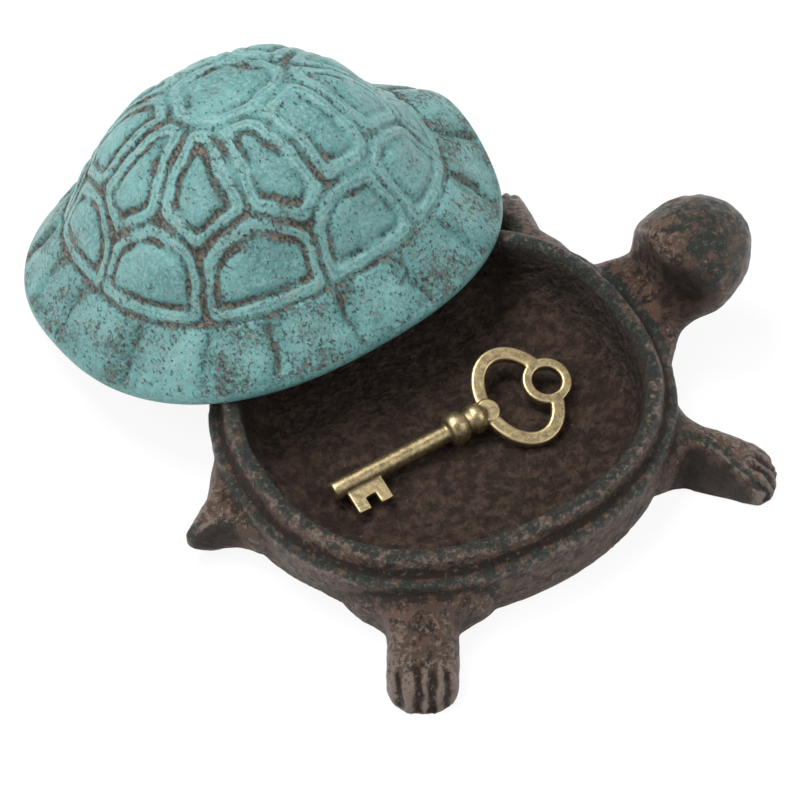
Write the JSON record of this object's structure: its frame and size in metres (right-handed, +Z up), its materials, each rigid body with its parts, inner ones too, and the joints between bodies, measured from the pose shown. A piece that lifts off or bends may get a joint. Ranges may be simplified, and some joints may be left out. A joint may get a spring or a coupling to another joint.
{
  "type": "turtle key hider",
  "caption": "Cast turtle with a hollow oval body and a lift-off domed shell lid, leaning off the body, with a loose skeleton key in the hollow.",
  "frame": {"origin": "middle of the flat belly, the plane that the turtle stands on", "axes": "+X toward the head, +Y to the turtle's left, +Z up"},
  "size_m": [0.1597, 0.1877, 0.0596],
  "materials": {
    "body_iron": "dark red-brown cast iron, dry-brushed with blue-green on its edges",
    "shell_verdigris": "cast iron painted verdigris turquoise, rubbed back to brown in the grooves",
    "key_brass": "antique brass, darkened"
  },
  "bodies": {
    "body": {"base_casting": "body_iron"},
    "lid": {"shell_lid": "shell_verdigris"},
    "key": {"skeleton_key": "key_brass"}
  },
  "joints": [
    {"name": "lid_lift", "type": "slide", "parent": "body", "child": "lid", "axis": [0, 0, 1], "range_m": [0, 0.06]},
    {"name": "key_lift", "type": "slide", "parent": "body", "child": "key", "axis": [0, 0, 1], "range_m": [0, 0.045]}
  ]
}
